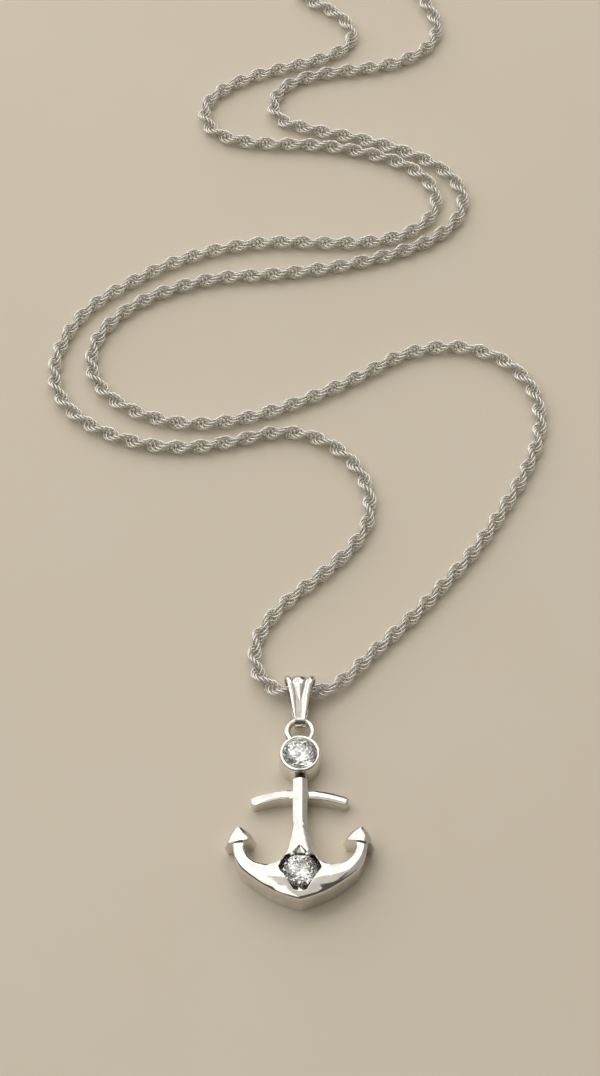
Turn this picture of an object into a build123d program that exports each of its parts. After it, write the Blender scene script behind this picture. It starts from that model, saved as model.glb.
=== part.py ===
from build123d import *

import math
import os

# Anchor pendant on a rope chain, lying on its flat back. Millimetres, +Z up.
# The origin is on the surface, under the centre of the bezel's stone. The anchor
# points to -Y, and the chain goes from the bail to +Y and back as one closed loop.

# Stones: round brilliants, one in the bezel and one in the crown
BEZEL_STONE_DIAMETER = 4.9
CROWN_STONE_DIAMETER = 4.7
TABLE_SHARE = 0.57
STAR_SHARE = 0.77
LOWER_HALF_SHARE = 0.22
CROWN_HEIGHT_SHARE = 0.16
GIRDLE_SHARE = 0.025
PAVILION_SHARE = 0.43
STONE_GAP = 0.1

# Bezel: a plain round cup whose lip closes over the stone's edge
BEZEL_WALL = 0.36
BEZEL_HEIGHT = 3.8
LIP_COVER = 0.05
LIP_DEPTH = 0.45
BEZEL_GIRDLE_BELOW_RIM = 0.7
RIM_ROUNDING = 0.1
RIM_SHOULDER_DROP = 0.26
RIM_SHOULDER_IN = 0.13
WELL_FOOT_RADIUS = 0.15

# Shank: a domed bar from the bezel down to the crown
SHANK_WIDTH = 2.05
SHANK_HEIGHT = 3.0
SHANK_DOME = 0.42
SHANK_STEP = 0.47
STEP_WIDTH = 1.7
STEP_HEIGHT = 1.7

# Stock: the curved cross bar
STOCK_HALF_SPAN = 6.75
STOCK_PLACE_Y = -5.7
STOCK_SAG = 1.03
STOCK_WIDTH = 1.45
STOCK_END_WIDTH = 1.4
STOCK_WALL = 2.35
STOCK_END_WALL = 1.85
STOCK_DOME = 0.12
STOCK_LEAN = 0.09
STOCK_CORNER = 0.5

# Arms and crown, as seen from the front
CROWN_TIP_Y = -22.4
CROWN_SIDE = (-4.2, -20.75)
ARM_SHOULDER = (-8.0, -17.85)
ARM_OUTER_SIDE = (-8.98, -15.7)
ARM_INNER_SIDE = (-5.0, -17.1)
NECK_CENTRE_X = 8.4
NECK_WIDTH = 1.5
NECK_Y = -13.3
FLARE_FOOT = (-2.55, -16.4)
FLARE_SIDE = (-1.39, -13.4)
ARM_HEIGHT = 4.4
ARM_END_HEIGHT = 3.35
ARM_DOME_RADIUS = 3.4
ARM_CENTRELINE_RADIUS = 6.1
ARM_CENTRE_X = 2.3
ARM_CENTRE_Y = -13.2
CROWN_DOME_RADIUS = 20.0
CROWN_CENTRE_Y = -18.0
FLARE_START_Y = -10.4
FLARE_END_Y = -16.6
FLARE_END_HALF = 3.0
FLARE_END_WALL = 3.72
FLARE_END_DOME = 0.8

# Flukes: spade heads that stand wider than the arms' ends
FLUKE_WIDTH = 3.65
FLUKE_LENGTH = 2.5
FLUKE_PLACE_X = 8.12
FLUKE_PLACE_Y = -13.65
FLUKE_TURN = 9.0
FLUKE_WALL = 3.4
FLUKE_DOME = 0.55
FLUKE_TIP_WALL = 3.2
FLUKE_TIP_DOME = 0.1
FLUKE_WIDTH_SHARES = (1.0, 0.86, 0.58, 0.18)
FLUKE_BULGE = 0.45

# Crown setting: a kite-shaped pocket with a bead and two wedge prongs
CROWN_STONE_Y = -17.9
CROWN_GIRDLE_HEIGHT = 3.5
POCKET_FLOOR = 2.7
POCKET_SIDE = 2.98
POCKET_SIDE_AHEAD = 0.25
POCKET_FOOT_HALF = 0.8
POCKET_FOOT_BEYOND = 0.75
POCKET_SHOULDER_HALF = 2.05
POCKET_SHOULDER_DROP = 0.4
POCKET_TOP_HALF = 1.1
POCKET_CORNER = 0.3
NOTCH_LENGTH = 1.35
NOTCH_SLOPE = 0.07
NOTCH_TIP_HEIGHT = 3.76
NOTCH_RISE = 0.15
PRONG_POST_RADIUS = 0.36
PRONG_POST_FOOT = 1.0
PRONG_POST_TOP = 4.05
PRONG_HEAD_HEIGHT = 4.22
PRONG_HEAD_RADIUS = 0.38
PRONG_LEAN = 0.56
BEAD_HEAD_RADIUS = 0.44
BEAD_LEAN = 0.46
WEDGE_PRONG_ANGLE = 62.0

# Soldered ring behind the bezel
RING_OUTER_DIAMETER = 4.65
RING_WIRE = 1.0
RING_HEIGHT = 2.2
RING_IN_WALL = 1.06

# Bail: one tapered strip, folded round the ring below and the chain above
BAIL_THICKNESS = 0.48
BAIL_CHAIN_PLAY = 0.35
BAIL_REST_GAP = 0.27
ROPE_BELOW_BEND = 0.55
BAIL_RING_GAP = 0.25
BAIL_BEND_Y = 11.3
BAIL_TOP_WIDTH = 4.95
BAIL_MIDDLE_WIDTH = 2.4
BAIL_MIDDLE_DROP = 0.45
BAIL_SIDE_BULGE = -0.12
BAIL_FOOT_WIDTH = 1.54
BAIL_MARGIN = 0.5
FLUTE_GROOVE_WIDTH = 0.42
FLUTE_GROOVE_DEPTH = 0.2
FLUTE_GROOVE_X = 1.05
FLUTE_GROOVE_MIDDLE_X = 0.6
FLUTE_GROOVE_MIDDLE_WIDTH = 0.26
FLUTE_GROOVE_FOOT_X = 0.5
FLUTE_GROOVE_FOOT_WIDTH = 0.14
FLUTE_MIDDLE_Y = 8.9
FLUTE_FOOT_Y = 6.1

# Chain, end caps, jump rings and clasp
ROPE_DIAMETER = 2.3
CAP_WALL = 0.3
CAP_GAP = 0.1
CAP_BORE_DEPTH = 2.0
CAP_END = 1.0
CAP_LIFT = 0.05
EYE_WIRE = 0.8
EYE_HOLE = 1.35
JOINT_LAP = 0.2
JUMP_RING_WIRE = 0.8
JUMP_RING_DIAMETER = 5.0
CLASP_WIRE = 1.0
CLASP_WIDTH = 3.9
CLASP_STRAIGHT = 5.0
CLASP_EYE_WIRE = 0.9
CLASP_EYE_HOLE = 1.5
CLASP_PLAY = 0.3

# Heights of the chain's middle: lying, inside the bail, and inside a cap
LYING = ROPE_DIAMETER / 2
IN_BAIL = LYING + BAIL_THICKNESS + BAIL_REST_GAP
IN_CAP = LYING + CAP_GAP + CAP_WALL + CAP_LIFT
START_Y = BAIL_BEND_Y - ROPE_BELOW_BEND
CORNER_SHARE = 0.45

# The chain's way from inside the bail to each end cap
LEFT_ROUTE = [
    (0.0, START_Y, IN_BAIL), (-3.0, START_Y, IN_BAIL), (-6.0, 13.5, 1.4), (-6.9, 18.2, LYING),
    (-5.2, 22.7, LYING), (-1.7, 27.0, LYING), (3.0, 31.0, LYING), (7.4, 35.6, LYING),
    (10.4, 40.4, LYING), (10.6, 46.6, LYING), (7.6, 52.8, LYING), (2.4, 56.6, LYING),
    (-3.2, 57.7, LYING), (-10.0, 55.6, LYING), (-17.5, 54.2, LYING), (-25.5, 55.2, LYING),
    (-32.8, 58.6, LYING), (-37.6, 63.8, LYING), (-38.9, 70.0, LYING), (-37.0, 76.6, LYING),
    (-33.4, 82.3, LYING), (-27.4, 87.0, LYING), (-20.4, 91.4, LYING), (-12.6, 94.3, LYING),
    (-4.0, 95.7, LYING), (4.4, 95.2, LYING), (12.0, 95.4, LYING), (18.6, 97.6, LYING),
    (22.5, 102.2, LYING), (22.2, 107.6, LYING), (17.8, 112.4, LYING), (10.6, 115.2, LYING),
    (2.6, 116.8, LYING), (-5.6, 116.9, LYING), (-12.0, 117.8, LYING), (-15.9, 121.0, LYING),
    (-16.3, 125.8, LYING), (-12.9, 129.8, LYING), (-6.8, 133.1, LYING), (-0.4, 135.0, LYING),
    (5.4, 137.2, LYING), (9.0, 140.2, LYING), (8.9, 144.5, LYING), (5.2, 148.6, LYING),
    (0.6, 151.2, LYING), (-0.3, 155.4, IN_CAP), (1.6, 158.9, IN_CAP),
]
RIGHT_ROUTE = [
    (0.0, START_Y, IN_BAIL), (3.0, START_Y, IN_BAIL), (6.6, 13.2, 1.4), (10.8, 18.2, LYING),
    (16.2, 23.6, LYING), (21.4, 29.8, LYING), (26.8, 36.6, LYING), (31.2, 44.0, LYING),
    (35.2, 51.6, LYING), (37.4, 59.0, LYING), (36.4, 66.4, LYING), (31.4, 72.2, LYING),
    (24.0, 74.4, LYING), (16.4, 72.8, LYING), (9.6, 68.3, LYING), (2.0, 64.0, LYING),
    (-6.0, 60.6, LYING), (-14.4, 58.6, LYING), (-22.4, 59.6, LYING), (-29.4, 63.4, LYING),
    (-33.0, 69.0, LYING), (-32.6, 75.2, LYING), (-28.4, 81.2, LYING), (-21.4, 85.6, LYING),
    (-13.0, 88.2, LYING), (-4.6, 88.6, LYING), (4.2, 89.9, LYING), (13.0, 92.1, LYING),
    (21.2, 95.6, LYING), (26.0, 100.2, LYING), (27.2, 106.2, LYING), (23.8, 111.6, LYING),
    (17.2, 115.5, LYING), (9.4, 118.3, LYING), (1.6, 120.2, LYING), (-3.8, 122.2, LYING),
    (-4.9, 126.6, LYING), (-2.0, 131.0, LYING), (4.0, 133.2, LYING), (11.4, 134.2, LYING),
    (18.0, 136.0, LYING), (22.8, 139.8, LYING), (24.1, 145.0, LYING), (22.0, 149.6, LYING),
    (20.9, 154.0, IN_CAP), (19.0, 157.5, IN_CAP),
]


def mirrored(shape):
    """Return the shape's mirror image across the pendant's middle plane."""
    return mirror(shape, about=Plane.YZ)


def ring_points(radius, height, turn, count=8):
    """Return count points on a level circle, the first one at the angle turn in degrees."""
    step = 360.0 / count
    return [
        Vector(
            radius * math.cos(math.radians(turn + step * index)),
            radius * math.sin(math.radians(turn + step * index)),
            height,
        )
        for index in range(count)
    ]


def flat_face(points):
    """Return the plane face of one cut facet."""
    return Face(Wire.make_polygon(points, close=True))


def brilliant(diameter, girdle_height, centre_y):
    """Return a round brilliant whose girdle's upper edge is at girdle_height."""
    radius = diameter / 2
    half = 180.0 / 8
    table_radius = radius * TABLE_SHARE
    crown = diameter * CROWN_HEIGHT_SHARE
    girdle = diameter * GIRDLE_SHARE
    depth = diameter * PAVILION_SHARE
    star_radius = radius * STAR_SHARE
    lower_radius = radius * LOWER_HALF_SHARE
    fold = math.cos(math.radians(half))
    star_height = crown * (radius - star_radius * fold) / (radius - table_radius)
    lower_height = -girdle - depth * (radius - lower_radius * fold) / radius

    table = ring_points(table_radius, crown, 0)
    stars = ring_points(star_radius, star_height, half)
    upper = ring_points(radius, 0, 0, 16)
    lower = ring_points(radius, -girdle, 0, 16)
    halves = ring_points(lower_radius, lower_height, half)
    culet = Vector(0, 0, -girdle - depth)

    faces = [flat_face(table)]
    for index in range(8):
        after = (index + 1) % 8
        main = 2 * index
        between = main + 1
        next_main = (main + 2) % 16
        faces.append(flat_face([table[index], stars[index], table[after]]))
        faces.append(flat_face([table[index], stars[index - 1], upper[main], stars[index]]))
        faces.append(flat_face([stars[index], upper[main], upper[between]]))
        faces.append(flat_face([stars[index], upper[between], upper[next_main]]))
        faces.append(flat_face([upper[main], lower[main], lower[between], upper[between]]))
        faces.append(flat_face([upper[between], lower[between], lower[next_main], upper[next_main]]))
        faces.append(flat_face([halves[index], lower[between], lower[main]]))
        faces.append(flat_face([halves[index], lower[next_main], lower[between]]))
        faces.append(flat_face([culet, halves[index], lower[main], halves[index - 1]]))
    stone = Solid(Shell(faces))
    return Pos(0, centre_y, girdle_height) * stone


def turned(profile):
    """Return the solid of a closed outline of (radius, height) points turned about Z."""
    outline = Polyline(*[(radius, 0, height) for radius, height in profile], close=True)
    return revolve(make_face(outline), axis=Axis.Z)


def stone_well(diameter, girdle_height):
    """Return the hollow that holds a stone's lower half clear of the metal."""
    radius = diameter / 2 + STONE_GAP
    top = girdle_height - diameter * GIRDLE_SHARE - STONE_GAP
    slope = 2 * PAVILION_SHARE
    bottom = top - slope * (radius - WELL_FOOT_RADIUS) - STONE_GAP
    return turned([
        (0, girdle_height + 3 * STONE_GAP),
        (radius, girdle_height + 3 * STONE_GAP),
        (radius, top),
        (WELL_FOOT_RADIUS, bottom),
        (0, bottom),
    ])


def bezel_cup():
    """Return the cup with its closed back and the lip over the stone's edge."""
    bore = BEZEL_STONE_DIAMETER / 2 + STONE_GAP
    outer = bore + BEZEL_WALL
    lip = BEZEL_STONE_DIAMETER / 2 - LIP_COVER
    girdle = BEZEL_HEIGHT - BEZEL_GIRDLE_BELOW_RIM
    wall = turned([
        (0, 0),
        (outer, 0),
        (outer, BEZEL_HEIGHT - RIM_SHOULDER_DROP),
        (outer - RIM_SHOULDER_IN, BEZEL_HEIGHT),
        (lip + RIM_ROUNDING, BEZEL_HEIGHT),
        (lip, BEZEL_HEIGHT - RIM_ROUNDING),
        (lip, BEZEL_HEIGHT - LIP_DEPTH + STONE_GAP),
        (bore, BEZEL_HEIGHT - LIP_DEPTH),
        (bore, girdle),
        (0, girdle),
    ])
    return wall - stone_well(BEZEL_STONE_DIAMETER, girdle)


def shank_bar():
    """Return the domed shank and the low step that joins it to the bezel."""
    bezel_radius = BEZEL_STONE_DIAMETER / 2 + STONE_GAP + BEZEL_WALL
    top_end = -bezel_radius - SHANK_STEP
    length = top_end - FLARE_START_Y + 2 * SHANK_WIDTH
    radius = SHANK_WIDTH ** 2 / (8 * SHANK_DOME) + SHANK_DOME / 2
    block = Pos(0, top_end - length / 2, SHANK_HEIGHT / 2) * Box(SHANK_WIDTH, length, SHANK_HEIGHT)
    dome = Pos(0, top_end - length / 2, SHANK_HEIGHT - radius) * Rot(90, 0, 0) * Cylinder(radius, length)
    low = Pos(0, top_end - length / 2, SHANK_HEIGHT / 4) * Box(SHANK_WIDTH, length, SHANK_HEIGHT / 2)
    step_length = SHANK_STEP + 2 * BEZEL_WALL
    step_y = top_end + step_length / 2 - BEZEL_WALL
    step = Pos(0, step_y, STEP_HEIGHT / 2) * Box(STEP_WIDTH, step_length, STEP_HEIGHT)
    return (block & dome) + low + step


def d_section(place, heading, width, wall, rise, lean=0.0):
    """Return a section with a flat foot, upright walls and an arched top that may lean back."""
    half = width / 2
    plane = Plane(origin=place, x_dir=heading.cross(Vector(0, 0, 1)), z_dir=heading)
    sign = 1 if plane.y_dir.Z > 0 else -1
    with_arch = [
        Line((-half, 0), (-half, sign * (wall - lean))),
        ThreePointArc(
            (-half, sign * (wall - lean)), (0, sign * (wall + rise)), (half, sign * (wall + lean))
        ),
        Line((half, sign * (wall + lean)), (half, 0)),
        Line((half, 0), (-half, 0)),
    ]
    return plane * make_face(with_arch)


def stock_bar():
    """Return the cross bar, lofted from its middle to both ends."""
    radius = (STOCK_HALF_SPAN ** 2 + STOCK_SAG ** 2) / (2 * STOCK_SAG)
    reach = math.asin(STOCK_HALF_SPAN / radius)
    sections = []
    for share in (0.0, 0.5, 1.0):
        angle = reach * share
        place = Vector(radius * math.sin(angle), STOCK_PLACE_Y - radius * (1 - math.cos(angle)), 0)
        heading = Vector(math.cos(angle), -math.sin(angle), 0)
        width = STOCK_WIDTH + (STOCK_END_WIDTH - STOCK_WIDTH) * share ** 2
        wall = STOCK_WALL + (STOCK_END_WALL - STOCK_WALL) * share ** 2
        sections.append(d_section(place, heading, width, wall, STOCK_DOME, STOCK_LEAN))
    half_bar = loft(sections)
    end_face = half_bar.faces().sort_by(Axis.X)[-1]
    upright = [edge for edge in end_face.edges() if edge.bounding_box().size.Z > 0.9 * STOCK_END_WALL]
    half_bar = fillet(upright, STOCK_CORNER)
    return half_bar + mirrored(half_bar)


def body_outline():
    """Return the face of the arms, crown and flare as seen from the front."""
    half_shank = SHANK_WIDTH / 2
    tip = (0, CROWN_TIP_Y)
    neck_outer = (-NECK_CENTRE_X - NECK_WIDTH / 2, NECK_Y)
    neck_inner = (-NECK_CENTRE_X + NECK_WIDTH / 2, NECK_Y)
    flare_top = (-half_shank, FLARE_START_Y)
    edges = [
        ThreePointArc(tip, CROWN_SIDE, ARM_SHOULDER),
        ThreePointArc(ARM_SHOULDER, ARM_OUTER_SIDE, neck_outer),
        Line(neck_outer, neck_inner),
        ThreePointArc(neck_inner, ARM_INNER_SIDE, FLARE_FOOT),
        ThreePointArc(FLARE_FOOT, FLARE_SIDE, flare_top),
        Line(flare_top, (0, FLARE_START_Y)),
        Line((0, FLARE_START_Y), tip),
    ]
    half = make_face(edges)
    return half, mirrored(half)


def flare_roof():
    """Return the solid whose top runs from the shank's dome to the crown's flatter one."""
    up = Vector(0, -1, 0)
    start = d_section(
        Vector(0, FLARE_START_Y, 0), up, SHANK_WIDTH, SHANK_HEIGHT - SHANK_DOME, SHANK_DOME
    )
    end = d_section(Vector(0, FLARE_END_Y, 0), up, 2 * FLARE_END_HALF, FLARE_END_WALL, FLARE_END_DOME)
    return loft([start, end])


def arms_and_crown():
    """Return the domed arms and crown on their flat back, the arms lower at their ends."""
    left_face, right_face = body_outline()
    left = extrude(left_face, amount=2 * ARM_HEIGHT, dir=(0, 0, 1))
    right = extrude(right_face, amount=2 * ARM_HEIGHT, dir=(0, 0, 1))
    tilt = math.degrees(math.atan((ARM_HEIGHT - ARM_END_HEIGHT) / ARM_CENTRELINE_RADIUS))
    dome = Rot(-tilt, 0, 0) * Torus(ARM_CENTRELINE_RADIUS, ARM_DOME_RADIUS)
    dome_height = ARM_END_HEIGHT - ARM_DOME_RADIUS
    left_arm = left & (Pos(-ARM_CENTRE_X, ARM_CENTRE_Y, dome_height) * dome)
    right_arm = right & (Pos(ARM_CENTRE_X, ARM_CENTRE_Y, dome_height) * dome)
    ball = Pos(0, CROWN_CENTRE_Y, ARM_HEIGHT - CROWN_DOME_RADIUS) * Sphere(CROWN_DOME_RADIUS)
    crown = (left + right) & ball
    length = FLARE_START_Y - FLARE_END_Y
    zone = Pos(0, FLARE_END_Y + length / 2, ARM_HEIGHT / 2) * Box(2 * FLARE_END_HALF, length, 2 * ARM_HEIGHT)
    crown = crown - (zone - flare_roof())
    return crown + left_arm + right_arm


def fluke_section(along, share):
    """Return one section of a spade head: bellied walls under an arched top."""
    reach = along / FLUKE_LENGTH
    half = FLUKE_WIDTH / 2 * share
    belly = half + FLUKE_BULGE * share
    wall = FLUKE_WALL + (FLUKE_TIP_WALL - FLUKE_WALL) * reach
    crest = wall + FLUKE_TIP_DOME + (FLUKE_DOME - FLUKE_TIP_DOME) * share
    edges = [
        Line((-half, 0), (-belly, wall / 2)),
        Line((-belly, wall / 2), (-half, wall)),
        ThreePointArc((-half, wall), (0, crest), (half, wall)),
        Line((half, wall), (belly, wall / 2)),
        Line((belly, wall / 2), (half, 0)),
        Line((half, 0), (-half, 0)),
    ]
    plane = Plane(origin=(0, along, 0), x_dir=(1, 0, 0), z_dir=(0, -1, 0))
    return plane * make_face(edges)


def fluke():
    """Return the left spade head: a base standing wide of the arm, and a blunt tip."""
    steps = len(FLUKE_WIDTH_SHARES) - 1
    sections = []
    for number, share in enumerate(FLUKE_WIDTH_SHARES):
        sections.append(fluke_section(FLUKE_LENGTH * number / steps, share))
    head = loft(sections)
    return Pos(-FLUKE_PLACE_X, FLUKE_PLACE_Y, 0) * Rot(0, 0, FLUKE_TURN) * head


def crown_pocket():
    """Return the kite-shaped hollow round the crown's stone, with its well."""
    reach = CROWN_STONE_DIAMETER / 2 + STONE_GAP
    top_y = CROWN_STONE_Y + reach
    low_y = CROWN_STONE_Y - reach - POCKET_FOOT_BEYOND
    foot = (POCKET_FOOT_HALF, low_y)
    side = (POCKET_SIDE, CROWN_STONE_Y + POCKET_SIDE_AHEAD)
    shoulder = (POCKET_SHOULDER_HALF, top_y - POCKET_SHOULDER_DROP)
    top = (POCKET_TOP_HALF, top_y)
    outline = Polyline(
        foot, side, shoulder, top,
        (-top[0], top[1]), (-shoulder[0], shoulder[1]), (-side[0], side[1]), (-foot[0], foot[1]),
        close=True,
    )
    face = make_face(outline)
    face = Pos(0, 0, POCKET_FLOOR) * fillet(face.vertices(), POCKET_CORNER)
    pocket = extrude(face, amount=ARM_HEIGHT, dir=(0, 0, 1))
    well = Pos(0, CROWN_STONE_Y, 0) * stone_well(CROWN_STONE_DIAMETER, CROWN_GIRDLE_HEIGHT)
    notch_foot = top_y - STONE_GAP
    notch_tip = notch_foot + NOTCH_LENGTH
    triangle = Polyline((-top[0], notch_foot), (top[0], notch_foot), (0, notch_tip), close=True)
    notch_face = Pos(0, 0, CROWN_GIRDLE_HEIGHT + NOTCH_RISE) * make_face(triangle)
    notch = extrude(notch_face, amount=ARM_HEIGHT, dir=(0, 0, 1))
    slope = Plane(origin=(0, notch_tip, NOTCH_TIP_HEIGHT), x_dir=(1, 0, 0), z_dir=(0, -NOTCH_SLOPE, 1))
    above = Pos(0, 0, ARM_HEIGHT / 2) * Box(2 * ARM_HEIGHT, 2 * ARM_HEIGHT, ARM_HEIGHT)
    return pocket + well + (notch & (slope * above))


def prong(angle, head_radius, lean):
    """Return a post beside the crown's stone with a round head over its edge."""
    turn = math.radians(angle)
    away = CROWN_STONE_DIAMETER / 2 + STONE_GAP + PRONG_POST_RADIUS
    head_away = away - lean
    height = PRONG_POST_TOP - PRONG_POST_FOOT
    post = Cylinder(PRONG_POST_RADIUS, height)
    post = Pos(
        away * math.cos(turn), CROWN_STONE_Y + away * math.sin(turn), PRONG_POST_FOOT + height / 2
    ) * post
    head = Pos(
        head_away * math.cos(turn), CROWN_STONE_Y + head_away * math.sin(turn), PRONG_HEAD_HEIGHT
    ) * Sphere(head_radius)
    return post + head


def bail_ring():
    """Return the round wire ring soldered behind the bezel."""
    major = (RING_OUTER_DIAMETER - RING_WIRE) / 2
    return Pos(0, ring_centre_y(), RING_HEIGHT) * Torus(major, RING_WIRE / 2)


def ring_centre_y():
    """Return where the soldered ring's centre lies behind the bezel."""
    bezel_radius = BEZEL_STONE_DIAMETER / 2 + STONE_GAP + BEZEL_WALL
    return bezel_radius - RING_IN_WALL + RING_OUTER_DIAMETER / 2


def anchor():
    """Return the cast anchor with its bezel, ring, flukes and crown setting."""
    bore_radius = BEZEL_STONE_DIAMETER / 2 + STONE_GAP
    bore = Pos(0, 0, BEZEL_HEIGHT / 2) * Cylinder(bore_radius, BEZEL_HEIGHT)
    ring = bail_ring() - bore
    heads = fluke()
    body = arms_and_crown() + shank_bar() + stock_bar() + heads + mirrored(heads)
    body = body - crown_pocket()
    body = body + prong(WEDGE_PRONG_ANGLE, PRONG_HEAD_RADIUS, PRONG_LEAN)
    body = body + prong(180 - WEDGE_PRONG_ANGLE, PRONG_HEAD_RADIUS, PRONG_LEAN)
    body = body + prong(-90, BEAD_HEAD_RADIUS, BEAD_LEAN)
    return body + bezel_cup() + ring


def hull_of_circles(centre_a, radius_a, centre_b, radius_b):
    """Return the outline face round two circles in the side plane, as (y, z) points."""
    dy = centre_b[0] - centre_a[0]
    dz = centre_b[1] - centre_a[1]
    span = math.hypot(dy, dz)
    base = math.atan2(dz, dy)
    spread = math.acos((radius_a - radius_b) / span)

    def at(centre, radius, angle):
        return (0, centre[0] + radius * math.cos(angle), centre[1] + radius * math.sin(angle))

    a_up = at(centre_a, radius_a, base + spread)
    a_down = at(centre_a, radius_a, base - spread)
    b_up = at(centre_b, radius_b, base + spread)
    b_down = at(centre_b, radius_b, base - spread)
    edges = [
        Line(b_up, a_up),
        ThreePointArc(a_up, at(centre_a, radius_a, base + math.pi), a_down),
        Line(a_down, b_down),
        ThreePointArc(b_down, at(centre_b, radius_b, base), b_up),
    ]
    return make_face(edges)


def both_ways(face, width):
    """Return the face extruded equally to both sides of the middle plane."""
    return extrude(face, amount=width / 2, both=True)


def bail():
    """Return the folded bail with its two grooves between three flutes."""
    bend_inner = ROPE_DIAMETER / 2 + BAIL_CHAIN_PLAY
    bend_outer = bend_inner + BAIL_THICKNESS
    wrap_inner = RING_WIRE / 2 + BAIL_RING_GAP
    wrap_outer = wrap_inner + BAIL_THICKNESS
    bar_y = ring_centre_y() + (RING_OUTER_DIAMETER - RING_WIRE) / 2
    wrap_centre = (bar_y - BAIL_RING_GAP / 2, RING_HEIGHT)
    bend_centre = (BAIL_BEND_Y, bend_outer)
    wide = 2 * BAIL_TOP_WIDTH
    outer = hull_of_circles(wrap_centre, wrap_outer, bend_centre, bend_outer)
    inner = hull_of_circles(wrap_centre, wrap_inner, bend_centre, bend_inner)
    band = both_ways(outer, wide) - both_ways(inner, 2 * wide)

    top_y = BAIL_BEND_Y + bend_outer + BAIL_MARGIN
    foot_y = wrap_centre[0] - wrap_outer - BAIL_MARGIN
    middle_y = (BAIL_BEND_Y + wrap_centre[0]) / 2 - BAIL_MIDDLE_DROP
    top_half = BAIL_TOP_WIDTH / 2
    middle_half = BAIL_MIDDLE_WIDTH / 2
    foot_half = BAIL_FOOT_WIDTH / 2
    bulge_x = (top_half + middle_half) / 2 + BAIL_SIDE_BULGE
    bulge_y = (top_y + middle_y) / 2
    edges = [
        Line((-top_half, top_y), (top_half, top_y)),
        ThreePointArc((top_half, top_y), (bulge_x, bulge_y), (middle_half, middle_y)),
        Line((middle_half, middle_y), (foot_half, wrap_centre[0])),
        Line((foot_half, wrap_centre[0]), (foot_half, foot_y)),
        Line((foot_half, foot_y), (-foot_half, foot_y)),
        Line((-foot_half, foot_y), (-foot_half, wrap_centre[0])),
        Line((-foot_half, wrap_centre[0]), (-middle_half, middle_y)),
        ThreePointArc((-middle_half, middle_y), (-bulge_x, bulge_y), (-top_half, top_y)),
    ]
    strip = band & extrude(make_face(edges), amount=wide, both=True)

    skin_outer = hull_of_circles(
        wrap_centre, wrap_outer + BAIL_MARGIN, bend_centre, bend_outer + BAIL_MARGIN
    )
    skin_inner = hull_of_circles(
        wrap_centre, wrap_outer - FLUTE_GROOVE_DEPTH, bend_centre, bend_outer - FLUTE_GROOVE_DEPTH
    )
    skin = both_ways(skin_outer, wide) - both_ways(skin_inner, 2 * wide)
    front = Pos(0, BAIL_BEND_Y, bend_outer + wide / 2) * Box(wide, wide, wide)
    for side in (-1, 1):
        inner_side = []
        outer_side = []
        for middle_x, width, place_y in (
            (FLUTE_GROOVE_X, FLUTE_GROOVE_WIDTH, top_y),
            (FLUTE_GROOVE_MIDDLE_X, FLUTE_GROOVE_MIDDLE_WIDTH, FLUTE_MIDDLE_Y),
            (FLUTE_GROOVE_FOOT_X, FLUTE_GROOVE_FOOT_WIDTH, FLUTE_FOOT_Y),
        ):
            inner_side.append((side * (middle_x - width / 2), place_y))
            outer_side.append((side * (middle_x + width / 2), place_y))
        wedge = Polyline(*inner_side, *reversed(outer_side), close=True)
        groove = extrude(make_face(wedge), amount=wide, both=True) & skin & front
        strip = strip - groove
    return strip


def route_radii(points):
    """Return the arc radius for each corner of a route."""
    radii = []
    for before, corner, after in zip(points, points[1:], points[2:]):
        first = Vector(*corner) - Vector(*before)
        second = Vector(*after) - Vector(*corner)
        half_turn = math.radians(first.get_angle(second)) / 2
        shorter = min(first.length, second.length)
        radii.append(CORNER_SHARE * shorter / math.tan(half_turn))
    return radii


def rope(name, points):
    """Return the solid round one half of the chain and print how it was checked."""
    radii = route_radii(points)
    path = FilletPolyline(*points, radius=radii)
    heading = Vector(*points[1]) - Vector(*points[0])
    section = Plane(origin=points[0], z_dir=heading) * Circle(ROPE_DIAMETER / 2)
    solid = sweep(section, path=path)
    expected = path.length * math.pi * (ROPE_DIAMETER / 2) ** 2
    print(name, "arc radii", [round(radius, 1) for radius in radii])
    volumes = (round(solid.volume, 1), round(expected, 1))
    print(name, "length", round(path.length, 1), "volume and section x length", volumes)
    return solid, path.length


def frame_at(point, direction):
    """Return a location at the point with its local X axis along a level direction."""
    return Location(Plane(origin=point, x_dir=direction, z_dir=(0, 0, 1)))


def end_direction(points):
    """Return the level unit direction in which a route ends."""
    return (Vector(*points[-1]) - Vector(*points[-2])).normalized()


def eye_reach():
    """Return how far an end cap's eye stands beyond the chain's end."""
    return CAP_END + (EYE_HOLE / 2 + EYE_WIRE) - JOINT_LAP


def end_cap(points):
    """Return the cap on one end of the chain, with its eye lying flat."""
    outer = ROPE_DIAMETER / 2 + CAP_GAP + CAP_WALL
    length = CAP_BORE_DEPTH + CAP_END
    shell = Pos(CAP_END - length / 2, 0, 0) * Rot(0, 90, 0) * Cylinder(outer, length)
    shell = chamfer(shell.edges().sort_by(Axis.X)[-1], CAP_WALL)
    bore = Pos(-CAP_BORE_DEPTH, 0, 0) * Rot(0, 90, 0) * Cylinder(outer - CAP_WALL, 2 * CAP_BORE_DEPTH)
    eye = Pos(eye_reach(), 0, 0) * Torus((EYE_HOLE + EYE_WIRE) / 2, EYE_WIRE / 2)
    return frame_at(points[-1], end_direction(points)) * (shell - bore + eye)


def eye_centre(points):
    """Return the centre of the eye on one end cap."""
    return Vector(*points[-1]) + end_direction(points) * eye_reach()


def clasp_reach():
    """Return the clasp's distance from its eye to the far jump ring's wire."""
    loop_end = CLASP_STRAIGHT / 2 + (CLASP_WIDTH - CLASP_WIRE) / 2
    far_wire = loop_end - CLASP_WIRE / 2 - JUMP_RING_WIRE / 2 - CLASP_PLAY
    eye_outer = CLASP_EYE_HOLE / 2 + CLASP_EYE_WIRE
    return loop_end + CLASP_WIRE / 2 + eye_outer - JOINT_LAP + far_wire


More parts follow.
